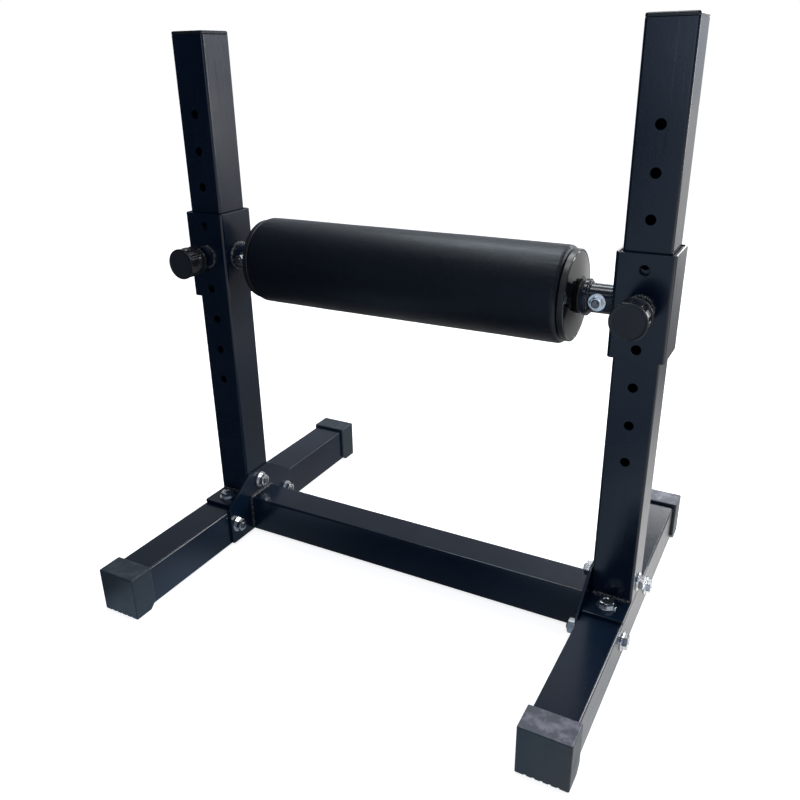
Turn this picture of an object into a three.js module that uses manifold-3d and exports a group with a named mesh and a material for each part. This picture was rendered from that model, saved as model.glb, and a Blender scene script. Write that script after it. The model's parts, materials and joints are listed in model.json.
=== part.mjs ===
// Nordic hamstring stand: two uprights on a bolted base, and between them a padded ankle
// roller on a carriage that slides up and down and is held by two sprung index pins.
// Millimetres, +Z up. The user kneels on the -Y side, left is -X, right is +X.
// The origin is on the floor, below the middle of the cross beam.

import * as THREE from 'three';
import { mergeVertices } from 'three/addons/utils/BufferGeometryUtils.js';
import Module from 'manifold-3d';

const wasm = await Module();
wasm.setup();

// Frame tubes and plates
const uprightSpacing = 576; // between the centre lines of the two sides
const tubeWidth = 50;
const tubeWall = 2.5;
const tubeCornerRadius = 3;
const legHeight = 55;
const legLength = 530;
const uprightLength = 636;
const beamRise = 1; // the beam's underside above the legs' underside
const footPlateThickness = 5;
const endPlateThickness = 4;
const plateCornerRadius = 4;
const endPlateReach = 74; // half its length at the leg
const endPlateRise = 33; // above the foot plate, in front of the upright's inner face
const footPlateReach = 65.5; // half its length

// Rubber feet
const footSole = 2; // under the tube
const footWall = 3.8; // beside and above the tube
const footEndWall = 3.5;
const footGrip = 31; // the length of tube inside
const footChamfer = 9; // on the lower edge of its open end
const footEdgeRadius = 1.2;
const grooveCount = 5;
const grooveWidth = 3.2;
const grooveDepth = 1.1;
const groovePitch = 8.65;
const notchDepth = 2.1; // of the grooves through the foot's closed end

// Plugs in the tops of the uprights
const capHeight = 4.5;
const capEdgeRadius = 1.2;
const plugDepth = 14;

// Index holes in the front walls
const holeCount = 9;
const holePitch = 45;
const holeRadius = 5.5;
const lowestHoleRise = 184; // above the foot plate
const pinnedHole = 4; // holes below the one that the pins are in

// Frame fasteners, M10 with wide washers
const boltRadius = 5;
const boltAcrossFlats = 16;
const boltHeadHeight = 6.4;
const nutHeight = 8;
const washerRadius = 11.7;
const washerThickness = 2;
const threadEnd = 2; // past the nut
const headDishShare = 0.125; // depth of the hollow in a bolt's head, of the head's height
const headDishWidthShare = 0.8; // its radius, of the shank's
const legBoltReach = 61; // in front of and behind the upright's centre
const legBoltHeightShare = 0.545;
const uprightBoltRise = 15.5; // above the foot plate
const plateBoltReach = 44;

// Socket fasteners, M8 with wide washers
const smallBoltRadius = 4;
const smallAcrossFlats = 13;
const smallHeadHeight = 5.3;
const smallNutHeight = 6.5;
const smallWasherRadius = 9.6;
const smallWasherThickness = 1.8;

// Collars and their liners
const collarHeight = 114.5;
const collarWall = 3;
const collarCornerRadius = 4;
const linerWall = 1.9;
const linerSetBack = 1; // its ends inside the collar's ends
const spareHoleRadius = 5.2;
const spareHoleRise = 40; // the upper spare hole above the pin
const spareHoleDrop = 45; // the lower one below it

// Sockets and axle
const socketRadius = 16.2;
const socketReach = 35.2; // from the collar's face to the flange's face
const socketDrop = 2.5; // its axis below the pins
const socketWeld = 3;
const flangeRadius = 20.5;
const flangeThickness = 4.5;
const socketBoltPlace = 18; // from the collar's face
const axleRadius = 12.5;
const axleWall = 3;
const axleSetBack = 1.5; // its ends from the collars' faces

// Roller
const padRadius = 55;
const padEndRadius = 7;
const coreRadius = 24;
const coreWall = 2;
const endCapRadius = 51.3;
const endCapRim = 7; // its thickness outside the pad
const endCapDome = 4.5; // its hub stands this proud of its edge
const endCapEdge = 1.4; // bevel on its outer corner
const hubWall = 5.4;
const hubDepth = 26;
const bearingWall = 3.2;
const bearingShoulder = 4.7; // keeps the disc off the socket's flange
const bearingShoulderWall = 6.2;
const endPlay = 0.5;

// Index pins
const pinRadius = 5;
const pinEntry = 8; // how far the tip reaches past the upright's front face
const pinTipChamfer = 1;
const pinRodRadius = 3;
const pinCollarRadius = 6.4;
const pinCollarLength = 2;
const pinTravel = 9.5;
const housingRadius = 8.2;
const housingBore = 6.9;
const housingLipLength = 2;
const housingHexLength = 11;
const housingHexAcrossFlats = 24;
const springWireRadius = 0.6;
const springTurns = 7;
const springSolidLength = 10;
const knobRadius = 19.7;
const knobBackRadius = 18.7;
const knobLength = 28.5;
const knobGap = 23.5; // from the collar's face to the knob's back
const knobRim = 3;
const knobBackRim = 2;
const knobEdge = 0.8; // bevel on the rim
const knobThreadLength = 12;
const knobLobes = 9;
const knobLobeSetBack = 0.7; // of the lobes inside the rims
const knobGrooveDepth = 2.4;
const knobGrooveWidthShare = 0.4; // of the lobes' pitch, at the groove's mouth

// Clearances
const fitGap = 0.3; // between pieces that are pushed, screwed or pinned together
const pinGap = 0.4; // round the sliding pin
const cutOverrun = 2; // how far a cutting tool runs past what it cuts

// Facets
const cornerSteps = 2;
const holeSides = 10;
const boltSides = 10;
const turnedSides = 18;
const rollerSides = 32;
const knobSides = 24;
const endArcSteps = 4;
const springSteps = 8;
const springSides = 4;

// Heights and places that follow from the sizes
const legTop = footSole + legHeight;
const footPlateTop = legTop + footPlateThickness;
const sideX = uprightSpacing / 2;
const innerFaceX = sideX - tubeWidth / 2;
const outerFaceX = sideX + tubeWidth / 2;
const endPlateFaceX = innerFaceX - endPlateThickness;
const uprightTop = footPlateTop + uprightLength;
const pinLine = footPlateTop + lowestHoleRise + pinnedHole * holePitch;
const axleLine = pinLine - socketDrop;
const legBoltLine = footSole + legHeight * legBoltHeightShare;
const uprightBoltLine = footPlateTop + uprightBoltRise;
const collarHalf = tubeWidth / 2 + linerWall + 2 * fitGap + collarWall;
const collarFaceX = sideX - collarHalf;
const flangeFaceX = collarFaceX - socketReach;
const socketBoltX = collarFaceX - socketBoltPlace;
const hubFaceX = flangeFaceX - endPlay - bearingShoulder - fitGap;
const capFaceX = hubFaceX - endCapDome; // at the disc's edge
const padHalf = capFaceX - endCapRim - fitGap;
const bearingBore = axleRadius + fitGap;
const bearingRadius = bearingBore + bearingWall;

const material = (color, roughness, metalness) =>
  new THREE.MeshStandardMaterial({ color, roughness, metalness });
const powderCoat = material(0x17191d, 0.45, 0.4);
const rubber = material(0x23282c, 0.85, 0);
const blackPlastic = material(0x15171a, 0.5, 0);
const glossPlastic = material(0x0c0d0f, 0.15, 0);
const nylon = material(0x1d1f22, 0.6, 0);
const vinyl = material(0x14161a, 0.4, 0);
const zinc = material(0xc4c7c9, 0.3, 0.9);
const steel = material(0x8d9194, 0.35, 0.9);

// Solids for cutting and joining

function solidOf(geometry) {
  const bare = geometry.index ? geometry.toNonIndexed() : geometry.clone();
  bare.deleteAttribute('normal');
  bare.deleteAttribute('uv');
  const merged = mergeVertices(bare);
  return new wasm.Manifold(new wasm.Mesh({
    numProp: 3,
    vertProperties: merged.attributes.position.array,
    triVerts: new Uint32Array(merged.index.array),
  }));
}

function geometryOf(solid) {
  const { vertProperties, triVerts } = solid.getMesh();
  const geometry = new THREE.BufferGeometry();
  geometry.setAttribute('position', new THREE.BufferAttribute(vertProperties, 3));
  geometry.setIndex(new THREE.BufferAttribute(triVerts, 1));
  geometry.computeVertexNormals();
  return geometry;
}

function cut(geometry, tools) {
  let solid = solidOf(geometry);
  for (const tool of tools) solid = solid.subtract(solidOf(tool));
  return geometryOf(solid);
}

function join(pieces) {
  let solid = solidOf(pieces[0]);
  for (const piece of pieces.slice(1)) solid = solid.add(solidOf(piece));
  return geometryOf(solid);
}

// Outlines

function roundedRect(width, height, radius, path = new THREE.Shape()) {
  const x = width / 2;
  const y = height / 2;
  const quarter = Math.PI / 2;
  path.absarc(x - radius, y - radius, radius, 0, quarter);
  path.absarc(radius - x, y - radius, radius, quarter, 2 * quarter);
  path.absarc(radius - x, radius - y, radius, 2 * quarter, 3 * quarter);
  path.absarc(x - radius, radius - y, radius, 3 * quarter, 4 * quarter);
  path.closePath();
  return path;
}

function roundedPolygon(corners, radius) {
  const shape = new THREE.Shape();
  corners.forEach((corner, i) => {
    const before = corners[(i + corners.length - 1) % corners.length];
    const after = corners[(i + 1) % corners.length];
    const start = before.clone().sub(corner).setLength(radius).add(corner);
    const end = after.clone().sub(corner).setLength(radius).add(corner);
    if (i) shape.lineTo(start.x, start.y);
    else shape.moveTo(start.x, start.y);
    shape.quadraticCurveTo(corner.x, corner.y, end.x, end.y);
  });
  shape.closePath();
  return shape;
}

// Extrusions, centred on the origin. Along X an outline's x and y become Y and Z, and
// along Y they become X and Z.

function extrude(shape, length, axis, edge = 0) {
  const geometry = new THREE.ExtrudeGeometry(shape, {
    depth: length - 2 * edge,
    curveSegments: cornerSteps,
    bevelEnabled: edge > 0,
    bevelThickness: edge,
    bevelSize: edge,
    bevelOffset: -edge,
    bevelSegments: 1,
  });
  geometry.translate(0, 0, edge - length / 2);
  if (axis !== 'z') geometry.rotateX(Math.PI / 2);
  if (axis === 'x') geometry.rotateZ(Math.PI / 2);
  return geometry;
}

function tubeAlong(axis, width, height, length, wall, radius) {
  const shape = roundedRect(width, height, radius);
  const bore = Math.max(radius - wall, radius / 4);
  shape.holes.push(roundedRect(width - 2 * wall, height - 2 * wall, bore, new THREE.Path()));
  return extrude(shape, length, axis);
}

function rodAlong(axis, radius, length, sides, x = 0, y = 0, z = 0) {
  const geometry = new THREE.CylinderGeometry(radius, radius, length, sides);
  if (axis === 'x') geometry.rotateZ(Math.PI / 2);
  if (axis === 'z') geometry.rotateX(Math.PI / 2);
  return geometry.translate(x, y, z);
}

// A profile of [radius, height] pairs turned about Y, with the solid on its left
function turned(profile, sides) {
  return new THREE.LatheGeometry(profile.map(([r, h]) => new THREE.Vector2(r, h)), sides);
}

function turnedTube(outer, inner, from, to, sides) {
  return turned([[outer, from], [outer, to], [inner, to], [inner, from], [outer, from]], sides);
}

// The same, turned about X
function turnedAlongX(profile, sides) {
  return turned(profile, sides).rotateZ(-Math.PI / 2);
}

// Fasteners stand on the plane y = 0: the washer, head and nut above it, the shank below

function hexPrism(acrossFlats, height) {
  const corner = acrossFlats / 2 / Math.cos(Math.PI / 6);
  const prism = solidOf(rodAlong('y', corner, height, 6, 0, height / 2));
  const fall = (corner - acrossFlats / 2) / 2;
  const rim = acrossFlats / 2 - fall / 2;
  const crown = turned(
    [[0, -cutOverrun], [corner, -cutOverrun], [corner, height - fall], [rim, height], [0, height]],
    boltSides,
  );
  return geometryOf(prism.intersect(solidOf(crown)));
}

function boltGeometry(size, shankLength) {
  const headTop = size.washerThickness + size.headHeight;
  const dish = size.headHeight * headDishShare;
  const joined = join([
    rodAlong('y', size.washerRadius, size.washerThickness, turnedSides, 0, size.washerThickness / 2),
    hexPrism(size.acrossFlats, headTop),
    rodAlong('y', size.radius, shankLength + dish, boltSides, 0, (dish - shankLength) / 2),
  ]);
  const hollow = rodAlong('y', size.radius * headDishWidthShare, 2 * dish, boltSides, 0, headTop);
  return cut(joined, [hollow]);
}

function nutGeometry(size, washer = true) {
  const base = washer ? size.washerThickness : 0;
  const height = base + size.nutHeight;
  const pieces = [hexPrism(size.acrossFlats, height)];
  if (washer) pieces.push(rodAlong('y', size.washerRadius, base, turnedSides, 0, base / 2));
  const bore = rodAlong('y', size.radius + fitGap, 2 * height + cutOverrun, boltSides, 0, height / 2);
  return cut(join(pieces), [bore]);
}

const frameSize = {
  radius: boltRadius,
  acrossFlats: boltAcrossFlats,
  headHeight: boltHeadHeight,
  nutHeight,
  washerRadius,
  washerThickness,
};
const socketSize = {
  radius: smallBoltRadius,
  acrossFlats: smallAcrossFlats,
  headHeight: smallHeadHeight,
  nutHeight: smallNutHeight,
  washerRadius: smallWasherRadius,
  washerThickness: smallWasherThickness,
};
const boltHole = boltRadius + fitGap;
const socketBoltHole = smallBoltRadius + fitGap;

// Frame pieces of one side, with the upright's centre line at x = 0

function baseLeg() {
  const tube = tubeAlong('y', tubeWidth, legHeight, legLength, tubeWall, tubeCornerRadius);
  tube.translate(0, 0, footSole + legHeight / 2);
  const holes = [-1, 1].flatMap((end) => [
    rodAlong('x', boltHole, tubeWidth + cutOverrun, holeSides, 0, end * legBoltReach, legBoltLine),
    rodAlong('z', boltHole, 2 * tubeWall + cutOverrun, holeSides, 0, end * plateBoltReach, legTop),
  ]);
  return cut(tube, holes);
}

function foot() {
  const top = legTop + footWall;
  const length = footGrip + footEndWall;
  const outline = new THREE.Shape();
  outline.moveTo(0, 0);
  outline.lineTo(length - footChamfer, 0);
  outline.lineTo(length, footChamfer);
  outline.lineTo(length, top);
  outline.lineTo(0, top);
  outline.closePath();
  const width = tubeWidth + 2 * footWall;
  const body = extrude(outline, width, 'x', footEdgeRadius);
  const reach = footGrip + cutOverrun;
  const gapWidth = tubeWidth + 2 * fitGap;
  const gapHeight = legHeight + 2 * fitGap;
  const pocket = extrude(roundedRect(gapWidth, gapHeight, tubeCornerRadius), reach, 'y');
  pocket.translate(0, footEndWall + reach / 2, footSole + legHeight / 2);
  const grooves = [];
  for (let i = 0; i < grooveCount; i += 1) {
    const x = (i - (grooveCount - 1) / 2) * groovePitch;
    const groove = new THREE.BoxGeometry(grooveWidth, length + 2 * cutOverrun, 2 * grooveDepth);
    const notch = new THREE.BoxGeometry(grooveWidth, 2 * footEndWall, 2 * notchDepth);
    grooves.push(groove.translate(x, length / 2, 0), notch.translate(x, 0, 0));
  }
  return cut(body, [pocket, ...grooves]);
}

function endPlate() {
  const corners = [
    [-endPlateReach, footSole + beamRise],
    [endPlateReach, footSole + beamRise],
    [endPlateReach, footPlateTop],
    [tubeWidth / 2, footPlateTop + endPlateRise],
    [-tubeWidth / 2, footPlateTop + endPlateRise],
    [-endPlateReach, footPlateTop],
  ].map(([y, z]) => new THREE.Vector2(y, z));
  const plate = extrude(roundedPolygon(corners, plateCornerRadius), endPlateThickness, 'x');
  const depth = endPlateThickness + cutOverrun;
  return cut(plate, [
    rodAlong('x', boltHole, depth, holeSides, 0, -legBoltReach, legBoltLine),
    rodAlong('x', boltHole, depth, holeSides, 0, legBoltReach, legBoltLine),
    rodAlong('x', boltHole, depth, holeSides, 0, 0, uprightBoltLine),
  ]);
}

function footPlate() {
  const outline = roundedRect(tubeWidth, 2 * footPlateReach, plateCornerRadius / 2);
  const middle = legTop + footPlateThickness / 2;
  const plate = extrude(outline, footPlateThickness, 'z').translate(0, 0, middle);
  const depth = footPlateThickness + cutOverrun;
  return cut(plate, [-1, 1].map((end) =>
    rodAlong('z', boltHole, depth, holeSides, 0, end * plateBoltReach, middle)));
}

function upright() {
  const tube = tubeAlong('z', tubeWidth, tubeWidth, uprightLength, tubeWall, tubeCornerRadius);
  tube.translate(0, 0, footPlateTop + uprightLength / 2);
  const holes = [rodAlong('x', boltHole, tubeWidth + cutOverrun, holeSides, 0, 0, uprightBoltLine)];
  for (let i = 0; i < holeCount; i += 1) {
    const z = footPlateTop + lowestHoleRise + i * holePitch;
    holes.push(rodAlong('y', holeRadius, 4 * tubeWall, holeSides, 0, -tubeWidth / 2, z));
  }
  return cut(tube, holes);
}

function uprightCap() {
  const head = extrude(
    roundedRect(tubeWidth, tubeWidth, tubeCornerRadius), capHeight, 'z', capEdgeRadius,
  ).translate(0, 0, uprightTop + capHeight / 2);
  const plugWidth = tubeWidth - 2 * tubeWall - 2 * fitGap;
  const plugLength = plugDepth + capHeight / 2;
  const plug = extrude(roundedRect(plugWidth, plugWidth, tubeCornerRadius / 2), plugLength, 'z');
  plug.translate(0, 0, uprightTop + capHeight / 2 - plugLength / 2);
  return join([head, plug]);
}

// Carriage pieces of one side

const linerHalf = tubeWidth / 2 + fitGap + linerWall;

function frontHoles(pinHoleRadius, depth, y) {
  const sleeve = rodAlong('y', pinHoleRadius, depth, turnedSides, 0, y, pinLine);
  const spare = [spareHoleRise, -spareHoleDrop].map((rise) =>
    rodAlong('y', spareHoleRadius, depth, holeSides, 0, y, pinLine + rise));
  return [sleeve, ...spare];
}

function collar() {
  const tube = tubeAlong('z', 2 * collarHalf, 2 * collarHalf, collarHeight, collarWall, collarCornerRadius);
  tube.translate(0, 0, pinLine);
  return cut(tube, frontHoles(housingRadius + fitGap, 4 * collarWall, -collarHalf));
}

function collarLiner() {
  const length = collarHeight - 2 * linerSetBack;
  const tube = tubeAlong('z', 2 * linerHalf, 2 * linerHalf, length, linerWall, tubeCornerRadius);
  tube.translate(0, 0, pinLine);
  return cut(tube, frontHoles(pinRadius + pinGap, 4 * linerWall, -linerHalf));
}

// Pieces turned about the roller's axis, in the right-hand half

function socket() {
  const bore = axleRadius + fitGap;
  const body = turnedAlongX([
    [bore, flangeFaceX], [flangeRadius, flangeFaceX],
    [flangeRadius, flangeFaceX + flangeThickness], [socketRadius, flangeFaceX + flangeThickness],
    [socketRadius, collarFaceX - socketWeld], [socketRadius + socketWeld, collarFaceX],
    [bore, collarFaceX], [bore, flangeFaceX],
  ], turnedSides);
  return cut(body, [rodAlong('y', socketBoltHole, 3 * socketRadius, holeSides, socketBoltX)]);
}

function rollerAxle() {
  const end = collarFaceX - axleSetBack;
  const body = turnedTube(axleRadius, axleRadius - axleWall, -end, end, turnedSides).rotateZ(Math.PI / 2);
  return cut(body, [-1, 1].map((side) =>
    rodAlong('y', socketBoltHole, 3 * axleRadius, holeSides, side * socketBoltX)));
}

function rollerPad() {
  const bore = coreRadius + fitGap;
  const profile = [[bore, -padHalf], [padRadius - padEndRadius, -padHalf]];
  for (let i = 1; i <= endArcSteps; i += 1) {
    const turn = (i / endArcSteps) * (Math.PI / 2);
    profile.push([
      padRadius - padEndRadius * (1 - Math.sin(turn)),
      -padHalf + padEndRadius * (1 - Math.cos(turn)),
    ]);
  }
  const mirrored = profile.slice().reverse().map(([r, x]) => [r, -x]);
  return turnedAlongX([...profile, ...mirrored, profile[0]], rollerSides);
}

function rollerCore() {
  return turnedTube(coreRadius, coreRadius - coreWall, -padHalf, padHalf, rollerSides).rotateZ(Math.PI / 2);
}

function endCap() {
  const bore = bearingRadius + fitGap;
  const hub = bore + hubWall;
  const plug = Math.min(coreRadius - coreWall - fitGap, hub);
  return turnedAlongX([
    [bore, padHalf - hubDepth], [plug, padHalf - hubDepth], [plug, padHalf + fitGap],
    [endCapRadius, padHalf + fitGap], [endCapRadius, capFaceX - endCapEdge],
    [endCapRadius - endCapEdge, capFaceX], [hub, hubFaceX], [bore, hubFaceX],
    [bore, padHalf - hubDepth],
  ], rollerSides);
}

function bearing() {
  const shoulderRadius = bearingBore + bearingShoulderWall;
  const shoulderFace = hubFaceX + fitGap;
  return turnedAlongX([
    [bearingBore, padHalf - hubDepth], [bearingRadius, padHalf - hubDepth],
    [bearingRadius, shoulderFace], [shoulderRadius, shoulderFace],
    [shoulderRadius, shoulderFace + bearingShoulder], [bearingBore, shoulderFace + bearingShoulder],
    [bearingBore, padHalf - hubDepth],
  ], turnedSides);
}

// Index pin pieces, turned about Y with y = 0 on the collar's front face and +Y outwards

const uprightFace = -(collarHalf - tubeWidth / 2);
const lipTop = housingLipLength - collarWall;
const pinCollarBase = lipTop + fitGap;
const springBase = pinCollarBase + pinCollarLength;
const chamberTop = springBase + pinTravel + springSolidLength;
const housingTop = chamberTop + housingLipLength;

function pinHousing() {
  const barrel = turned([
    [pinRadius + pinGap, -collarWall], [housingRadius, -collarWall], [housingRadius, housingTop],
    [pinRodRadius + pinGap, housingTop], [pinRodRadius + pinGap, chamberTop],
    [housingBore, chamberTop], [housingBore, lipTop], [pinRadius + pinGap, lipTop],
    [pinRadius + pinGap, -collarWall],
  ], turnedSides);
  const hex = hexPrism(housingHexAcrossFlats, housingHexLength);
  const wall = (housingRadius + housingBore) / 2;
  const ring = cut(hex, [rodAlong('y', wall, 3 * housingHexLength, turnedSides)]);
  return join([barrel, ring]);
}

function pinPlunger() {
  const tip = uprightFace - pinEntry;
  return turned([
    [0, tip], [pinRadius - pinTipChamfer, tip], [pinRadius, tip + pinTipChamfer],
    [pinRadius, pinCollarBase], [pinCollarRadius, pinCollarBase], [pinCollarRadius, springBase],
    [pinRodRadius, springBase], [pinRodRadius, knobGap + knobThreadLength],
    [0, knobGap + knobThreadLength],
  ], turnedSides);
}

class Helix extends THREE.Curve {
  constructor(radius, from, to, turns) {
    super();
    Object.assign(this, { radius, from, to, turns });
  }

  getPoint(t, target = new THREE.Vector3()) {
    const turn = t * this.turns * 2 * Math.PI;
    const height = this.from + t * (this.to - this.from);
    return target.set(this.radius * Math.cos(turn), height, this.radius * Math.sin(turn));
  }
}

function leastCoilGap(points) {
  let least = Infinity;
  points.forEach((a, i) => {
    for (const b of points.slice(i + springSteps / 2)) least = Math.min(least, a.distanceTo(b));
  });
  return least - 2 * springWireRadius;
}

function pinSpring() {
  const radius = (pinRodRadius + housingBore) / 2;
  const rest = springWireRadius + fitGap;
  const path = new Helix(radius, springBase + rest, chamberTop - rest, springTurns);
  const steps = springTurns * springSteps;
  const wire = new THREE.Shape();
  for (let i = 0; i < springSides; i += 1) {
    const turn = (i / springSides) * 2 * Math.PI;
    wire[i ? 'lineTo' : 'moveTo'](springWireRadius * Math.cos(turn), springWireRadius * Math.sin(turn));
  }
  wire.closePath();
  console.log('least gap between spring coils', leastCoilGap(path.getPoints(steps)).toFixed(2), 'mm');
  return new THREE.ExtrudeGeometry(wire, { steps, extrudePath: path, bevelEnabled: false });
}

function pinKnob() {
  const outline = new THREE.Shape();
  const lobeRadius = knobRadius - knobLobeSetBack;
  const pitch = (2 * Math.PI) / knobLobes;
  const mouth = pitch * knobGrooveWidthShare;
  for (let i = 0; i < knobLobes; i += 1) {
    const groove = [
      [-mouth / 2, 0], [-mouth / 6, knobGrooveDepth], [mouth / 6, knobGrooveDepth], [mouth / 2, 0],
    ];
    groove.forEach(([offset, depth], j) => {
      const turn = i * pitch + offset;
      const radius = lobeRadius - depth;
      outline[i || j ? 'lineTo' : 'moveTo'](radius * Math.cos(turn), radius * Math.sin(turn));
    });
    const crown = (i + 1 / 2) * pitch;
    outline.lineTo(lobeRadius * Math.cos(crown), lobeRadius * Math.sin(crown));
  }
  outline.closePath();
  const gripLength = knobLength - (knobRim + knobBackRim) / 2;
  const grip = extrude(outline, gripLength, 'y').translate(0, (gripLength + knobBackRim) / 2, 0);
  const vertices = grip.attributes.position;
  for (let i = 0; i < vertices.count; i += 1) {
    const along = (vertices.getY(i) - knobBackRim / 2) / gripLength;
    const share = THREE.MathUtils.lerp(knobBackRadius / knobRadius, 1, along);
    vertices.setX(i, vertices.getX(i) * share);
    vertices.setZ(i, vertices.getZ(i) * share);
  }
  const cap = turned([
    [0, knobLength - knobRim], [knobRadius, knobLength - knobRim],
    [knobRadius, knobLength - knobEdge], [knobRadius - knobEdge, knobLength], [0, knobLength],
  ], knobSides);
  const back = turned([
    [0, 0], [knobBackRadius - knobEdge, 0], [knobBackRadius, knobEdge], [knobBackRadius, knobBackRim],
    [0, knobBackRim],
  ], knobSides);
  const threadHole = rodAlong('y', pinRodRadius + fitGap, 2 * (knobThreadLength + fitGap), boltSides);
  return cut(join([grip, cap, back]), [threadHole]).translate(0, knobGap, 0);
}

// Assembly

const stand = new THREE.Group();

function place(parent, name, geometry, finish, x = 0, y = 0, z = 0) {
  const mesh = new THREE.Mesh(geometry, finish);
  mesh.name = name;
  mesh.position.set(x, y, z);
  parent.add(mesh);
  return mesh;
}

// Turns a piece built about +Y so that its +Y points along +X, -Y or +Z
const facing = {
  outwards: [0, 0, -Math.PI / 2],
  inwards: [0, 0, Math.PI / 2],
  forwards: [Math.PI, 0, 0],
  backwards: [0, 0, 0],
  upwards: [Math.PI / 2, 0, 0],
  downwards: [-Math.PI / 2, 0, 0],
};

function placeFacing(parent, name, geometry, finish, way, x, y, z) {
  place(parent, name, geometry, finish, x, y, z).rotation.set(...facing[way]);
}

const sidePieces = {
  leg: baseLeg(),
  foot: foot(),
  endPlate: endPlate(),
  footPlate: footPlate(),
  upright: upright(),
  cap: uprightCap(),
  sideBolt: boltGeometry(
    frameSize, tubeWidth + endPlateThickness + washerThickness + nutHeight + threadEnd,
  ),
  sideNut: nutGeometry(frameSize),
  plateBolt: boltGeometry(frameSize, footPlateThickness + tubeWall + nutHeight + threadEnd),
  plateNut: nutGeometry(frameSize, false),
  collar: collar(),
  liner: collarLiner(),
  socket: socket(),
  socketBolt: boltGeometry(
    socketSize, 2 * socketRadius + smallWasherThickness + smallNutHeight + threadEnd,
  ),
  socketNut: nutGeometry(socketSize),
  endCap: endCap(),
  bearing: bearing(),
  housing: pinHousing(),
  plunger: pinPlunger(),
  spring: pinSpring(),
  knob: pinKnob(),
};

place(stand, 'cross_beam', tubeAlong(
  'x', tubeWidth, legHeight, 2 * endPlateFaceX, tubeWall, tubeCornerRadius,
), powderCoat, 0, 0, footSole + beamRise + legHeight / 2);
place(stand, 'roller_axle', rollerAxle(), steel, 0, 0, axleLine);
place(stand, 'roller_core', rollerCore(), steel, 0, 0, axleLine);
place(stand, 'roller_pad', rollerPad(), vinyl, 0, 0, axleLine);

for (const [side, mirror] of [['left', -1], ['right', 1]]) {
  const half = new THREE.Group(); // built on the right, mirrored for the left
  half.scale.x = mirror;
  stand.add(half);

  place(half, `${side}_base_leg`, sidePieces.leg, powderCoat, sideX);
  for (const [end, turn] of [['front', 1], ['rear', -1]]) {
    const footGroup = new THREE.Group();
    footGroup.scale.y = turn;
    half.add(footGroup);
    const footY = -legLength / 2 - footEndWall - fitGap;
    place(footGroup, `${end}_${side}_foot`, sidePieces.foot, rubber, sideX, footY);

    const legBoltY = -turn * legBoltReach;
    const plateBoltY = -turn * plateBoltReach;
    placeFacing(half, `${side}_${end}_leg_bolt`, sidePieces.sideBolt, zinc,
      'outwards', outerFaceX, legBoltY, legBoltLine);
    placeFacing(half, `${side}_${end}_leg_nut`, sidePieces.sideNut, zinc,
      'inwards', endPlateFaceX, legBoltY, legBoltLine);
    placeFacing(half, `${side}_${end}_plate_bolt`, sidePieces.plateBolt, zinc,
      'upwards', sideX, plateBoltY, footPlateTop);
    placeFacing(half, `${side}_${end}_plate_nut`, sidePieces.plateNut, zinc,
      'downwards', sideX, plateBoltY, legTop - tubeWall);
  }
  place(half, `${side}_end_plate`, sidePieces.endPlate, powderCoat,
    innerFaceX - endPlateThickness / 2);
  place(half, `${side}_foot_plate`, sidePieces.footPlate, powderCoat, sideX);
  place(half, `${side}_upright`, sidePieces.upright, powderCoat, sideX);
  place(half, `${side}_upright_cap`, sidePieces.cap, blackPlastic, sideX);
  placeFacing(half, `${side}_upright_bolt`, sidePieces.sideBolt, zinc,
    'outwards', outerFaceX, 0, uprightBoltLine);
  placeFacing(half, `${side}_upright_nut`, sidePieces.sideNut, zinc,
    'inwards', endPlateFaceX, 0, uprightBoltLine);

  place(half, `${side}_collar`, sidePieces.collar, powderCoat, sideX);
  place(half, `${side}_collar_liner`, sidePieces.liner, nylon, sideX);
  place(half, `${side}_socket`, sidePieces.socket, powderCoat, 0, 0, axleLine);
  placeFacing(half, `${side}_socket_bolt`, sidePieces.socketBolt, zinc,
    'backwards', socketBoltX, socketRadius, axleLine);
  placeFacing(half, `${side}_socket_nut`, sidePieces.socketNut, zinc,
    'forwards', socketBoltX, -socketRadius, axleLine);
  place(half, `${side}_end_cap`, sidePieces.endCap, glossPlastic, 0, 0, axleLine);
  place(half, `${side}_bearing`, sidePieces.bearing, nylon, 0, 0, axleLine);

  const pinMount = new THREE.Group();
  pinMount.position.set(sideX, -collarHalf, pinLine);
  pinMount.rotation.set(...facing.forwards);
  half.add(pinMount);
  place(pinMount, `${side}_pin_housing`, sidePieces.housing, powderCoat);
  place(pinMount, `${side}_pin_plunger`, sidePieces.plunger, steel);
  place(pinMount, `${side}_pin_spring`, sidePieces.spring, steel);
  place(pinMount, `${side}_pin_knob`, sidePieces.knob, blackPlastic);
}

export default stand;
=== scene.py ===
import json
import math

import bpy
import bmesh
import numpy as np
from mathutils import Matrix, Vector, noise


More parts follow.
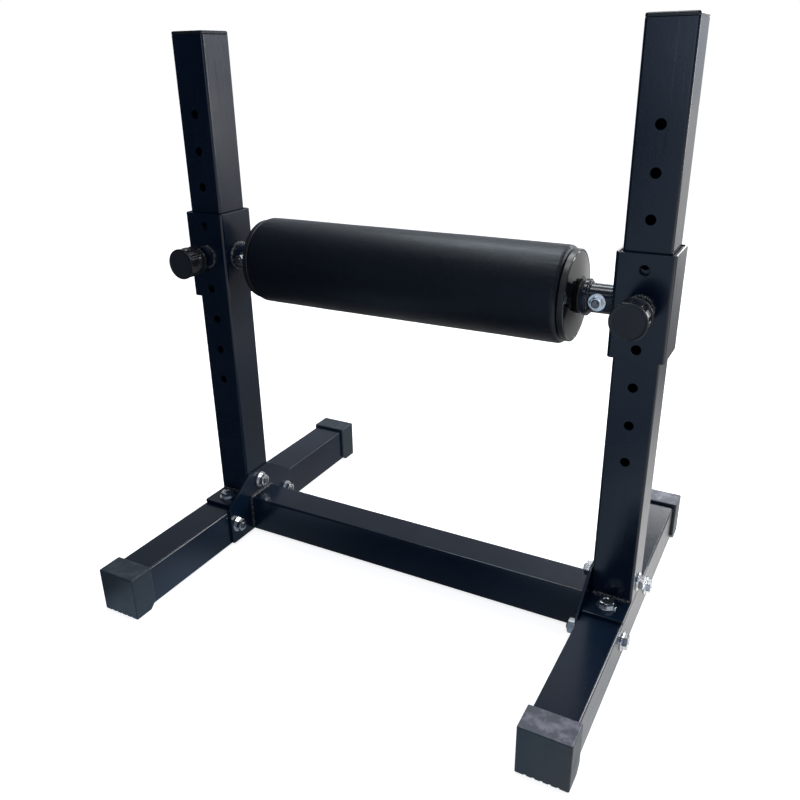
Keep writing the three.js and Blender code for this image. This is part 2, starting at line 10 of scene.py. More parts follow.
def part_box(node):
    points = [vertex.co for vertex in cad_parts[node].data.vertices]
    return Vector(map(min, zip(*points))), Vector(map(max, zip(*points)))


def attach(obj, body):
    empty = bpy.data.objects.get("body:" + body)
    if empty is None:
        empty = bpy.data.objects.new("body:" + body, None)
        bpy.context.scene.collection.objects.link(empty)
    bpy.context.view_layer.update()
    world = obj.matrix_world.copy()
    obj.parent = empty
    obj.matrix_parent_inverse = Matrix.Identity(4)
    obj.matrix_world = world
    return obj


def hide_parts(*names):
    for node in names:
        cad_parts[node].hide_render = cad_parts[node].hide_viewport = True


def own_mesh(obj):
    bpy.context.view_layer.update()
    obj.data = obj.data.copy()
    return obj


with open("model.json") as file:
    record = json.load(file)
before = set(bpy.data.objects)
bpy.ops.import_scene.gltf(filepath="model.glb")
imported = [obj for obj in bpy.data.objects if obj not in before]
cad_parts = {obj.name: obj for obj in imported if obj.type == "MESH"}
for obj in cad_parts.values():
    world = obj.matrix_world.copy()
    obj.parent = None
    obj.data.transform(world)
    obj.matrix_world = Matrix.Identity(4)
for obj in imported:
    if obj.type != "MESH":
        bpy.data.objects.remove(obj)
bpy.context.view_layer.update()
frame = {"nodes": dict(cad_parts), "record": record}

nodes = frame["nodes"]
mm = 0.001
scene = bpy.context.scene


class Wire:  # one output socket; sums of values become Math nodes
    def __init__(self, sheet, socket):
        self.sheet = sheet
        self.socket = socket

    def math(self, operation, *values):
        return self.sheet.add("ShaderNodeMath", {"operation": operation}, dict(enumerate(values)))

    def __add__(self, other):
        return self.math("ADD", self, other)

    def __sub__(self, other):
        return self.math("SUBTRACT", self, other)

    def __rsub__(self, other):
        return self.math("SUBTRACT", other, self)

    def __mul__(self, other):
        return self.math("MULTIPLY", self, other)

    def __pow__(self, other):
        return self.math("POWER", self, other)

    __radd__ = __add__
    __rmul__ = __mul__

    def clamped(self):
        return self.math("MINIMUM", self.math("MAXIMUM", self, 0.0), 1.0)

    def away(self):  # distance from zero
        return self.math("ABSOLUTE", self)

    def between(self, low, high):  # 0 at low, 1 at high, smooth in between
        settings = {"interpolation_type": "SMOOTHSTEP"}
        return self.sheet.add("ShaderNodeMapRange", settings, {0: self, 1: low, 2: high})


class Sheet:  # the node tree of a material or of the world
    def __init__(self, owner):
        owner.use_nodes = True
        self.owner = owner
        self.tree = owner.node_tree
        self.tree.nodes.clear()

    def add(self, kind, settings=None, inputs=None, out=0):
        node = self.tree.nodes.new(kind)
        for key, value in (settings or {}).items():
            setattr(node, key, value)
        for key, value in (inputs or {}).items():
            if isinstance(value, Wire):
                self.tree.links.new(value.socket, node.inputs[key])
            else:
                node.inputs[key].default_value = value
        return Wire(self, node.outputs[out]) if node.outputs else node

    def place(self):  # metres, in the object's own frame
        return self.add("ShaderNodeTexCoord", out="Object")

    def axis(self, index):
        return self.add("ShaderNodeSeparateXYZ", {}, {0: self.place()}, index)

    def stretched(self, *factors):
        inputs = {0: self.place(), 1: factors}
        return self.add("ShaderNodeVectorMath", {"operation": "MULTIPLY"}, inputs)

    def grain(self, scale, detail=2.0, roughness=0.5, vector=None):
        inputs = {"Vector": vector or self.place(), "Scale": scale}
        return self.add("ShaderNodeTexNoise", {}, inputs | {"Detail": detail, "Roughness": roughness})

    def cells(self, scale):  # distance to the nearest cell's edge
        inputs = {"Vector": self.place(), "Scale": scale}
        return self.add("ShaderNodeTexVoronoi", {"feature": "DISTANCE_TO_EDGE"}, inputs)

    def tint(self, mask, first, second):  # first is a colour or an earlier mix
        start = first if isinstance(first, Wire) else (*first, 1)
        return self.add("ShaderNodeMix", {"data_type": "RGBA"}, {0: mask, 6: start, 7: (*second, 1)}, 2)

    def bump(self, height, depth, before=None):
        inputs = {"Height": height, "Distance": depth}
        if before:
            inputs["Normal"] = before
        return self.add("ShaderNodeBump", {}, inputs)

    def close(self, shader, kind="ShaderNodeOutputMaterial"):
        self.add(kind, {}, {"Surface": shader})
        return self.owner


def material(name):
    return Sheet(bpy.data.materials.new(name))


def surface(sheet, **sockets):  # closes a material with one Principled shader
    inputs = {key.replace("_", " "): value for key, value in sockets.items()}
    return sheet.close(sheet.add("ShaderNodeBsdfPrincipled", {}, inputs))


def boxOf(node):  # mm
    low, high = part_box(node)
    return np.array(low) / mm, np.array(high) / mm


def middleOf(node):  # mm
    low, high = boxOf(node)
    return (low + high) / 2


rollerLine = tuple(middleOf("roller_pad") * mm)  # a point on the roller's axis, in metres

# Finishes. Grain scales are per metre and bump heights in mm.

coat = {"dark": (0.0022, 0.0080, 0.0205), "light": (0.0044, 0.0130, 0.0310), "dust": (0.05, 0.052, 0.056),
        "streak": (0.016, 0.018, 0.022), "roughness": 0.20, "spread": 0.10, "lump": 0.035, "fineShare": 0.15}


def powderCoat(name, rubbed=0.0):
    s = material(name)
    clouds = s.grain(9, 3)
    colour = s.tint(clouds.between(0.35, 0.7), coat["dark"], coat["light"])
    specks = s.grain(620, 1).between(0.70, 0.78)
    colour = s.tint(specks * s.grain(30, 2).between(0.45, 0.65) * 0.5, colour, coat["dust"])
    rough = s.grain(45, 4, 0.6) * coat["spread"] + (coat["roughness"] - coat["spread"] / 2)
    if rubbed:  # the sliding collar polishes long faint streaks into it
        streak = s.grain(1, 3, 0.6, s.stretched(420, 420, 9)).between(0.56, 0.68)
        rough = rough - streak * rubbed
        colour = s.tint(streak * 0.25, colour, coat["streak"])
    peel = s.bump(s.grain(420, 2, 0.45), coat["lump"] * mm)
    fine = s.bump(s.grain(1500, 1), coat["fineShare"] * coat["lump"] * mm, peel)
    return surface(s, Base_Color=colour, Roughness=rough, Normal=fine)


beadCoat = {"dark": (0.006, 0.008, 0.012), "light": (0.10, 0.10, 0.105), "roughness": 0.05, "spread": 0.10,
            "bump": 0.02}


def weldBeadFinish():
    s = material("coatedWeldPaintedGlints")
    # The lighter grey patches on the black coated bead are painted glints, a painted highlight standing in
    # for the bead's bright reflections.
    colour = s.tint(s.grain(420, 2).between(0.45, 0.62), beadCoat["dark"], beadCoat["light"])
    rough = s.grain(260, 2) * beadCoat["spread"] + beadCoat["roughness"]
    bumps = s.bump(s.grain(900, 2), beadCoat["bump"] * mm)
    return surface(s, Base_Color=colour, Roughness=rough, Normal=bumps)


rubber = {"dark": (0.018, 0.029, 0.039), "light": (0.036, 0.050, 0.062), "bloom": (0.120, 0.128, 0.150),
          "dust": (0.33, 0.33, 0.38), "dustAndSheen": 0.9, "roughness": 0.26, "spread": 0.22, "stipple": 0.04,
          "specular": 0.38}


def footRubber():
    s = material("footRubber")
    colour = s.tint(s.grain(35, 4, 0.6), rubber["dark"], rubber["light"])
    bloom = s.grain(75, 3, 0.55).between(0.45, 0.72)
    rightFeetSheen = s.axis(0).between(0.0, 0.25)
    upwards = s.add("ShaderNodeSeparateXYZ", {}, {0: s.add("ShaderNodeNewGeometry", out="Normal")}, 2)
    # Upward faces get more of the lighter bloom. The tops of the right-hand feet get a strong light grey that
    # is partly dust and partly painted sheen, standing in for their brighter reflection.
    colour = s.tint(bloom * (upwards.between(0.5, 0.9) * 0.25 + 0.04), colour, rubber["bloom"])
    dust = upwards.between(0.6, 0.95) * rightFeetSheen * (bloom * 0.6 + 0.4)  # partly dust, partly painted sheen, on top of the right-hand feet
    colour = s.tint(dust * rubber["dustAndSheen"], colour, rubber["dust"])
    rough = s.grain(60, 3) * rubber["spread"] + rubber["roughness"]
    stipple = s.bump(s.grain(900, 2), rubber["stipple"] * mm)
    return surface(s, Base_Color=colour, Roughness=rough, Normal=stipple,
                   Specular_IOR_Level=rubber["specular"])


def mouldedPlastic(name, dark, light, roughness, grainDepth):
    s = material(name)
    colour = s.tint(s.grain(60, 3), dark, light)
    rough = s.grain(180, 3) * 0.12 + (roughness - 0.06)
    stipple = s.bump(s.grain(1300, 2), grainDepth * mm)
    return surface(s, Base_Color=colour, Roughness=rough, Normal=stipple)


gloss = {"dark": (0.0035, 0.0045, 0.006), "light": (0.006, 0.007, 0.009), "roughness": 0.04, "spread": 0.06,
         "ringRoughness": 0.05, "rim": (50.4, 50.9), "rimRoughness": 0.30, "ripple": 0.02, "turning": 0.006,
         "specular": 0.75}


def glossPlastic():
    s = material("glossPlastic")
    colour = s.tint(s.grain(24, 2), gloss["dark"], gloss["light"])
    y, z = s.axis(1) - rollerLine[1], s.axis(2) - rollerLine[2]
    radius = (y * y + z * z) ** 0.5
    turned = s.grain(1, 2, 0.5, radius * 1500)  # rings left by turning
    rim = radius.between(*(r * mm for r in gloss["rim"]))
    rough = s.grain(30, 3) * gloss["spread"] + gloss["roughness"]
    rough = rough + turned.between(0.6, 0.75) * gloss["ringRoughness"] + rim * gloss["rimRoughness"]
    ripple = s.bump(s.grain(55, 2), gloss["ripple"] * mm)
    rings = s.bump(turned, gloss["turning"] * mm, ripple)
    return surface(s, Base_Color=colour, Roughness=rough, Normal=rings, Specular_IOR_Level=gloss["specular"])


vinyl = {"dark": (0.0010, 0.0024, 0.0066), "light": (0.0024, 0.0044, 0.0100),
         "creaseShade": (0.0016, 0.0020, 0.003), "pebbles": 520, "roughness": 0.31, "spread": 0.10,
         "grain": 0.06, "soft": 0.08, "specular": 0.42, "specularTint": (0.82, 0.91, 1.0)}


def padVinyl():
    s = material("padVinyl")
    colour = s.tint(s.grain(11, 3), vinyl["dark"], vinyl["light"])
    pebbles = s.cells(vinyl["pebbles"]).between(0.0, 0.16)  # 0 in the creases
    # The grain's creases are tinted darker: painted shade.
    colour = s.tint((1 - pebbles) * 0.35, colour, vinyl["creaseShade"])
    rough = s.grain(70, 3) * vinyl["spread"] + vinyl["roughness"] + (1 - pebbles) * 0.10
    grain = s.bump(pebbles, vinyl["grain"] * mm)
    soft = s.bump(s.grain(260, 3), vinyl["soft"] * mm, grain)
    return surface(s, Base_Color=colour, Roughness=rough, Normal=soft, Specular_IOR_Level=vinyl["specular"],
                   Specular_Tint=(*vinyl["specularTint"], 1))


def platedSteel(name, dark, light, roughness, scratch):
    s = material(name)
    colour = s.tint(s.grain(140, 3), dark, light)
    lines = s.grain(1, 3, 0.6, s.stretched(300, 2400, 300))
    rough = s.grain(220, 3) * 0.16 + (roughness - 0.08) + lines.between(0.5, 0.8) * 0.10
    marks = s.bump(lines, scratch * mm)
    return surface(s, Base_Color=colour, Metallic=1.0, Roughness=rough, Normal=marks)


finishes = {
    "powder_coat": powderCoat("powderCoat"),
    "rubbedCoat": powderCoat("powderCoatRubbed", rubbed=0.08),
    "weld": weldBeadFinish(),
    "foot_rubber": footRubber(),
    "cap_plastic": mouldedPlastic("capPlastic", (0.010, 0.013, 0.018), (0.018, 0.021, 0.026), 0.14, 0.006),
    "nylon": mouldedPlastic("nylonLiner", (0.006, 0.007, 0.009), (0.012, 0.013, 0.015), 0.48, 0.04),
    "zinc": platedSteel("brightZinc", (0.80, 0.81, 0.82), (0.93, 0.93, 0.93), 0.17, 0.008),
    # a darker zinc for the threaded ends: painted shade
    "zincThreadPaintedShade": platedSteel("zincThreadPaintedShade", (0.10, 0.10, 0.11), (0.34, 0.34, 0.35), 0.30, 0.02),
    "bare_steel": platedSteel("bareSteel", (0.34, 0.34, 0.35), (0.50, 0.50, 0.51), 0.34, 0.02),
    "pad_vinyl": padVinyl(),
    "gloss_plastic": glossPlastic(),
    "knob_plastic": mouldedPlastic("knobPlastic", (0.008, 0.010, 0.013), (0.013, 0.015, 0.018), 0.18, 0.004),
    "knobFace": mouldedPlastic("knobFace", (0.012, 0.015, 0.021), (0.020, 0.024, 0.031), 0.46, 0.05),
}
for subpart in frame["record"]["subparts"]:  # carried-over CAD nodes get their slot's finish too
    solid = nodes[subpart["node"]].data
    solid.materials.clear()
    solid.materials.append(finishes[subpart["material_slot"]])
print("finishes:", len(finishes))


# Mesh helpers. A shell is (points, faces); rings of points are joined into closed shells.


def ringShell(rings, closed=False):
    count = len(rings[0])
    points = np.concatenate(rings)
    faces = []
    pairs = [(i, i + 1) for i in range(len(rings) - 1)]
    if closed:
        pairs.append((len(rings) - 1, 0))
    for a, b in pairs:
        for i in range(count):
            j = (i + 1) % count
            faces.append((a * count + i, a * count + j, b * count + j, b * count + i))
    if not closed:
        faces.append(tuple(range(count))[::-1])
        faces.append(tuple(range((len(rings) - 1) * count, len(rings) * count)))
    return points, faces


def joined(shells):
    points, faces, start = [], [], 0
    for shellPoints, shellFaces in shells:
        points.append(shellPoints)
        faces += [tuple(i + start for i in face) for face in shellFaces]
        start += len(shellPoints)
    return np.concatenate(points), faces


def moved(shell, matrix):
    points, faces = shell
    turn = np.array(matrix)
    return points @ turn[:3, :3].T + turn[:3, 3], faces


def pointing(direction, origin):  # turns +Z to the direction; origin in metres
    turn = Vector(direction).to_track_quat("Z", "Y").to_matrix().to_4x4()
    return Matrix.Translation(Vector(origin)) @ turn


def softened(profile, radius, closed, steps=3):  # rounds the corners of a profile
    result = []
    count = len(profile)
    for i, corner in enumerate(profile):
        if not closed and i in (0, count - 1):
            result.append(corner)
            continue
        p = Vector(corner[:2])
        cornerRadius = corner[2] if len(corner) > 2 else radius
        before = Vector(profile[i - 1][:2]) - p
        after = Vector(profile[(i + 1) % count][:2]) - p
        reach = min(cornerRadius, 0.42 * before.length, 0.42 * after.length)
        if reach < 1e-4:
            result.append(tuple(p))
            continue
        start, end = p + before.normalized() * reach, p + after.normalized() * reach
        for step in range(steps + 1):
            t = step / steps
            result.append(tuple(start * (1 - t) ** 2 + p * 2 * t * (1 - t) + end * t ** 2))
    return [tuple(c[:2]) for c in result]


def turnedRing(turns, radii, heights):  # mm in, metres out; a number stands for all turns alike
    radii, heights = np.broadcast_to(radii, turns.shape), np.broadcast_to(heights, turns.shape)
    return np.stack([radii * np.cos(turns), radii * np.sin(turns), heights], 1) * mm


def fullTurn(count):
    return np.arange(count) / count * 2 * math.pi


def spun(profile, sides, radius=0.0, closed=False):  # (radius, height) pairs in mm, round +Z
    turns = fullTurn(sides)
    return ringShell([turnedRing(turns, r, h) for r, h in softened(profile, radius, closed)], closed)


def roundedLoop(halfU, halfV, radius, steps=6):  # mm in, mm out
    loop = []
    for quarter in range(4):
        u = (halfU - radius) * (1 if quarter in (0, 3) else -1)
        v = (halfV - radius) * (1 if quarter in (0, 1) else -1)
        for step in range(steps + 1):
            turn = (quarter + step / steps) * math.pi / 2
            loop.append((u + radius * math.cos(turn), v + radius * math.sin(turn)))
    return np.array(loop)


def ringAt(loop, axis, centre, height):
    u, v = [i for i in range(3) if i != axis]
    ring = np.zeros((len(loop), 3))
    ring[:, u] = centre[u] + loop[:, 0]
    ring[:, v] = centre[v] + loop[:, 1]
    ring[:, axis] = height
    return ring * mm


def squareTube(node, axis, wall, radius):
    low, high = boxOf(node)
    centre, half = (low + high) / 2, (high - low) / 2
    u, v = [i for i in range(3) if i != axis]
    outer = roundedLoop(half[u], half[v], radius)
    inner = roundedLoop(half[u] - wall, half[v] - wall, max(radius - wall, radius / 4))
    ends = [(outer, low[axis]), (outer, high[axis]), (inner, high[axis]), (inner, low[axis])]
    return ringShell([ringAt(loop, axis, centre, end) for loop, end in ends], closed=True)


def slab(outline, axis, low, high):  # a flat piece with an outline in mm
    flat = np.array(outline, float)
    return ringShell([ringAt(flat, axis, np.zeros(3), h) for h in (low, high)])


drilling = {"past": 3, "sides": 32}  # a drill starts this far in front of the face


def drill(radius, face, depth, x, z):  # cuts a round hole in a front face
    turns = (np.arange(drilling["sides"]) + 0.5) / drilling["sides"] * 2 * math.pi
    loop = np.stack([radius * np.cos(turns), radius * np.sin(turns)], 1)
    return ringShell([ringAt(loop, 1, (x, 0, z), y) for y in (face - drilling["past"], face + depth)])


def boxShell(low, high):
    corners = [(low[0], low[1]), (high[0], low[1]), (high[0], high[1]), (low[0], high[1])]
    return ringShell([ringAt(np.array(corners), 2, np.zeros(3), h) for h in (low[2], high[2])])


def settle(obj):  # applies what modifiers it has
    graph = bpy.context.evaluated_depsgraph_get()
    mesh = bpy.data.meshes.new_from_object(obj.evaluated_get(graph))
    obj.modifiers.clear()
    obj.data = mesh


def objectFrom(name, shell):
    points, faces = shell
    mesh = bpy.data.meshes.new(name)
    mesh.from_pydata([tuple(p) for p in points], [], faces)
    work = bmesh.new()
    work.from_mesh(mesh)
    bmesh.ops.remove_doubles(work, verts=work.verts, dist=1e-7)
    bmesh.ops.recalc_face_normals(work, faces=work.faces)
    work.to_mesh(mesh)
    work.free()
    obj = bpy.data.objects.new(name, mesh)
    scene.collection.objects.link(obj)
    return obj


def carve(obj, cutters):
    for cutter in cutters:
        tool = objectFrom("tool", cutter)
        cut = obj.modifiers.new("cut", "BOOLEAN")
        cut.operation, cut.solver, cut.object = "DIFFERENCE", "EXACT", tool
        settle(obj)
        bpy.data.objects.remove(tool)


def roundEdges(obj, width, steps=2):
    bevel = obj.modifiers.new("edges", "BEVEL")
    bevel.width, bevel.segments = width * mm, steps
    bevel.limit_method, bevel.angle_limit = "ANGLE", math.radians(32)
    settle(obj)


def piece(name, shell, look, body, stands=None, cuts=(), firstEdge=0, edge=0, sharp=38):
    obj = objectFrom(name, shell)
    if firstEdge:
        roundEdges(obj, firstEdge, 4)
    carve(obj, cuts)
    if edge:
        roundEdges(obj, edge)
    mesh = obj.data
    mesh.materials.clear()
    for finish in [look] if isinstance(look, str) else look:
        mesh.materials.append(finishes[finish])
    mesh.polygons.foreach_set("use_smooth", [True] * len(mesh.polygons))
    mesh.set_sharp_from_angle(angle=math.radians(sharp))
    weighted = obj.modifiers.new("normals", "WEIGHTED_NORMAL")
    weighted.keep_sharp = True
    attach(obj, body)
    if stands:
        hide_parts(stands)
    return obj


sides = {"left": -1, "right": 1}
sideX = float(middleOf("right_upright")[0])  # mm, centre line of each side

# Base: legs, feet, beam and plates

leg = {"wall": 2.5, "corner": 3, "edge": 0.35}
for side in sides:
    node = side + "_base_leg"
    piece(side + "_leg_tube", squareTube(node, 1, leg["wall"], leg["corner"]), "powder_coat", "frame",
          stands=node, edge=leg["edge"])

beam = {"wall": 2.5, "corner": 3, "edge": 0.35}
piece("beam_tube", squareTube("cross_beam", 0, beam["wall"], beam["corner"]), "powder_coat", "frame",
      stands="cross_beam", edge=beam["edge"])

foot = {"chamfer": 9, "edge": 1.7, "cutEdge": 0.3, "gap": 0.3, "endWall": 3.5, "pocketCorner": 3,
        "pocketPast": 5, "grooves": 5, "groovePitch": 8.65, "grooveWidth": 3.2, "grooveDepth": 1.1,
        "notchDepth": 2.1, "groovePast": 2}


def footOutline(low, high, outer, inner, way):  # seen from the side, with its chamfer under the inner end
    chamfer = foot["chamfer"]
    return [(outer, low[2]), (inner + way * chamfer, low[2]), (inner, low[2] + chamfer), (inner, high[2]),
            (outer, high[2])]


def footCuts(low, high, outer, inner, way, legNode):  # the leg's pocket, the sole's grooves and their notches
    legLow, legHigh = boxOf(legNode)
    half = (legHigh - legLow) / 2 + foot["gap"]
    loop = roundedLoop(half[0], half[2], foot["pocketCorner"])
    span = sorted((outer - way * foot["endWall"], inner - way * foot["pocketPast"]))
    cuts = [ringShell([ringAt(loop, 1, middleOf(legNode), y) for y in span])]
    past = foot["groovePast"]
    grooveSpan = (low[1] - past, high[1] + past)
    notchSpan = sorted((outer + way * past, outer - way * foot["endWall"]))
    for i in range(foot["grooves"]):
        x = (low[0] + high[0]) / 2 + (i - (foot["grooves"] - 1) / 2) * foot["groovePitch"]
        left, right = x - foot["grooveWidth"] / 2, x + foot["grooveWidth"] / 2
        for (near, far), depth in ((grooveSpan, foot["grooveDepth"]), (notchSpan, foot["notchDepth"])):
            cuts.append(boxShell((left, near, low[2] - past), (right, far, low[2] + depth)))
    return cuts


for side in sides:
    for end, way in (("front", -1), ("rear", 1)):
        node = f"{end}_{side}_foot"
        low, high = boxOf(node)
        outer, inner = (low[1], high[1]) if way < 0 else (high[1], low[1])
        body = slab(footOutline(low, high, outer, inner, way), 0, low[0], high[0])
        cuts = footCuts(low, high, outer, inner, way, side + "_base_leg")
        piece(f"{end}_{side}_rubber_foot", body, "foot_rubber", "frame", stands=node, cuts=cuts,
              firstEdge=foot["edge"], edge=foot["cutEdge"])

plate = {"corner": 4, "cornerSteps": 5, "edge": 0.9, "shoulder": 5, "topHalf": 25, "footCorner": 2}
for side in sides:
    node = side + "_end_plate"
    low, high = boxOf(node)
    shoulder = boxOf(side + "_base_leg")[1][2] + plate["shoulder"]
    top = plate["topHalf"]
    corners = [(low[1], low[2]), (high[1], low[2]), (high[1], shoulder), (top, high[2]), (-top, high[2]),
               (low[1], shoulder)]
    outline = softened(corners, plate["corner"], True, plate["cornerSteps"])
    piece(side + "_side_plate", slab(outline, 0, low[0], high[0]), "powder_coat", "frame", stands=node,
          edge=plate["edge"])
    node = side + "_foot_plate"
    low, high = boxOf(node)
    half = (high - low) / 2
    loop = roundedLoop(half[0], half[1], plate["footCorner"]) + middleOf(node)[:2]
    piece(side + "_base_plate", slab(loop, 2, low[2], high[2]), "powder_coat", "frame", stands=node,
          edge=plate["edge"])
print("base built")

# Uprights with their index holes and top plugs

upright = {"wall": 2.5, "corner": 3, "edge": 0.45, "holeRadius": 5.5, "holes": 9, "firstHole": 246,
           "pitch": 45}
for side, sign in sides.items():
    node = side + "_upright"
    face, depth = boxOf(node)[0][1], 3 * upright["wall"]
    heights = [upright["firstHole"] + i * upright["pitch"] for i in range(upright["holes"])]
    cuts = [drill(upright["holeRadius"], face, depth, sign * sideX, height) for height in heights]
    piece(side + "_upright_tube", squareTube(node, 2, upright["wall"], upright["corner"]), "rubbedCoat",
          "frame", node, cuts, edge=upright["edge"])

topPlug = {"corner": 3, "edge": 1.9, "head": 4.5, "parting": 0.9, "stemInset": 3, "stemCorner": 1.5,
           "dishInset": 9, "dish": 0.25}


def plugShell(node):
    low, high = boxOf(node)
    centre, half = (low + high) / 2, (high - low) / 2
    top, neck = high[2], high[2] - topPlug["head"]
    edge, parting, stem = topPlug["edge"], topPlug["parting"], topPlug["stemInset"]

    def ring(inset, height, corner):
        return ringAt(roundedLoop(half[0] - inset, half[1] - inset, corner), 2, centre, height)

    rings = [ring(stem, height, topPlug["stemCorner"]) for height in (low[2], neck)]
    for inset, height in ((parting, neck), (0, neck + parting), (0, top - edge),
                          (0.3 * edge, top - 0.3 * edge), (edge, top), (2.4 * edge, top),
                          (topPlug["dishInset"], top - topPlug["dish"])):
        rings.append(ring(inset, height, max(topPlug["corner"] - inset, 1)))
    return ringShell(rings)


for side in sides:
    node = side + "_upright_cap"
    piece(side + "_top_plug", plugShell(node), "cap_plastic", "frame", stands=node, sharp=50)
print("uprights built")

# Collars, liners and sockets

collar = {"wall": 3, "corner": 4, "edge": 1.0, "spareHole": 5.2, "spares": (40, -45), "pinHole": 8.5,
          "linerWall": 1.9, "linerCorner": 3, "linerEdge": 0.4, "linerPinHole": 5.4}
pinHeight = float(middleOf("right_collar")[2])


def pinHoles(node, sign, radius, depth):  # the pin's hole and the spare ones above and below it
    face = boxOf(node)[0][1]
    cuts = [drill(radius, face, depth, sign * sideX, pinHeight)]
    for rise in collar["spares"]:
        cuts.append(drill(collar["spareHole"], face, depth, sign * sideX, pinHeight + rise))
    return cuts


for side, sign in sides.items():
    node = side + "_collar"
    piece(side + "_sleeve", squareTube(node, 2, collar["wall"], collar["corner"]), "powder_coat", "carriage",
          stands=node, cuts=pinHoles(node, sign, collar["pinHole"], 2 * collar["wall"]), edge=collar["edge"])
    node = side + "_collar_liner"
    cuts = pinHoles(node, sign, collar["linerPinHole"], 3 * collar["linerWall"])
    piece(side + "_glide_liner", squareTube(node, 2, collar["linerWall"], collar["linerCorner"]), "nylon",
          "carriage", stands=node, cuts=cuts, edge=collar["linerEdge"])

collarFace = boxOf("right_collar")[0][0]
flangeFace = boxOf("right_socket")[0][0]
socket = {"radius": 16.2, "bore": 12.8, "flange": 20.5, "flangeThickness": 4.5, "edge": 0.8}
flangeBack = flangeFace + socket["flangeThickness"]
for side, sign in sides.items():
    tube = [(socket["bore"], flangeFace), (socket["flange"], flangeFace), (socket["flange"], flangeBack),
            (socket["radius"], flangeBack), (socket["radius"], collarFace), (socket["bore"], collarFace)]
    shell = spun(tube, 64, socket["edge"], True)
    piece(side + "_axle_socket", moved(shell, pointing((sign, 0, 0), rollerLine)), "powder_coat", "carriage",
          stands=side + "_socket")
print("carriage built")


# Weld beads: a rippled fillet laid along a path in the corner of two faces


bead = {"pitch": 0.62, "lean": 0.55, "ripple": 0.16, "bulge": 0.26, "swell": 0.4, "belly": 0.7,
        "wander": 0.10, "wanderPace": 0.12, "seedStep": 7.1, "tip": 0.25, "taper": 1.2, "root": 0.25,
        "profile": 9}


def weldBead(path, first, second, width, closed=False, seed=0):  # first and second point along the two faces
    path = np.array(path, float)
    steps = len(path)
    gaps = np.linalg.norm(np.diff(np.concatenate([path, path[:1]]), axis=0), axis=1)
    run = np.concatenate([[0], np.cumsum(gaps)])
    rings = []
    for i in range(steps):
        end = 1.0
        if not closed:
            nearest = min(run[i], run[steps - 1] - run[i])
            end = min(1, bead["tip"] + nearest / (bead["taper"] * width))
        a, b, p = np.array(first[i]), np.array(second[i]), path[i]
        spot = Vector((run[i] * bead["wanderPace"], seed * bead["seedStep"], 0.0))
        wander = bead["wander"] * noise.noise(spot)
        ring = []
        for t in np.linspace(0, 1, bead["profile"]):
            wave = (run[i] / (bead["pitch"] * width) + bead["lean"] * math.sin(math.pi * t)) % 1
            ripple = bead["ripple"] * (1 - (2 * wave - 1) ** 2)
            bulge = (bead["bulge"] + ripple) * math.sin(math.pi * t)
            size = width * end * (1 + wander + bead["swell"] * ripple)
            belly = bead["belly"] * bulge
            ring.append(p + a * size * (1 - t + belly) + b * size * (t + belly))
        ring.append(p - a * bead["root"] - b * bead["root"])
        rings.append(np.array(ring) * mm)
    return ringShell(rings, closed)


def straightPath(start, end, step=0.55):
    start, end = np.array(start, float), np.array(end, float)
    count = max(4, int(np.linalg.norm(end - start) / step))
    return [start + (end - start) * i / count for i in range(count + 1)]


weld = {"upright": 3.2, "beam": 2.6, "socket": 3.6, "flange": 2.2, "inset": 1.5, "lift": 2, "arcSteps": 8,
        "ringSteps": 190}


def beamPath(plateFace):  # up the beam's front, over its top and down its back, against the side plate
    low, high = boxOf("cross_beam")
    r, bottom, top = beam["corner"], low[2] + weld["lift"], high[2] - beam["corner"]
    path, outward = [], []
    runs = [((low[1], bottom), (low[1], top), (-1, 0)),
            ((low[1] + r, high[2]), (high[1] - r, high[2]), (0, 1)),
            ((high[1], top), (high[1], bottom), (1, 0))]
    for i, (start, end, normal) in enumerate(runs):
        line = straightPath((plateFace, *start), (plateFace, *end))
        path += line
        outward += [(0, *normal)] * len(line)
        if i < 2:  # round the corner to the next run
            centre = np.array((plateFace, (low[1] + r, high[1] - r)[i], top))
            for step in range(1, weld["arcSteps"]):
                turn = (2 - i) * math.pi / 2 - step / weld["arcSteps"] * math.pi / 2
                radial = (0, math.cos(turn), math.sin(turn))
                path.append(centre + np.array(radial) * r)
                outward.append(radial)
    return path, outward


for side, sign in sides.items():
    low, high = boxOf(side + "_upright")
    shells = []
    for way in (-1, 1):  # in front of the upright and behind it
        y = low[1] if way < 0 else high[1]
        path = straightPath((low[0] + weld["inset"], y, low[2]), (high[0] - weld["inset"], y, low[2]))
        shells.append(weldBead(path, [(0, way, 0)] * len(path), [(0, 0, 1)] * len(path), weld["upright"],
                               seed=sign + way * 3))
    piece(side + "_upright_weld", joined(shells), "weld", "frame", sharp=70)

    path, outward = beamPath(sign * abs(boxOf("cross_beam")[0][0]))
    shell = weldBead(path, [(-sign, 0, 0)] * len(path), outward, weld["beam"], seed=sign)
    piece(side + "_beam_weld", shell, "weld", "frame", sharp=70)

    shells = []
    turns = [i / weld["ringSteps"] * 2 * math.pi for i in range(weld["ringSteps"])]
    radial = [(0, math.cos(t), math.sin(t)) for t in turns]
    for x, way, width in ((collarFace, -1, weld["socket"]), (flangeBack, 1, weld["flange"])):
        base = np.array((sign * x, rollerLine[1] / mm, rollerLine[2] / mm))
        path = [base + np.array(n) * socket["radius"] for n in radial]
        shells.append(weldBead(path, [(sign * way, 0, 0)] * len(path), radial, width, True, seed=x))
    piece(side + "_socket_weld", joined(shells), "weld", "carriage", sharp=70)
print("welds laid")


# Fasteners, built with their seat on z = 0 and their head towards +Z


hexForm = {"sides": 60, "crown": 0.97, "slope": 26, "underCut": 0.35, "underRise": 0.25, "mouth": 0.7,
           "dish": 0.5, "dishShare": 0.30}


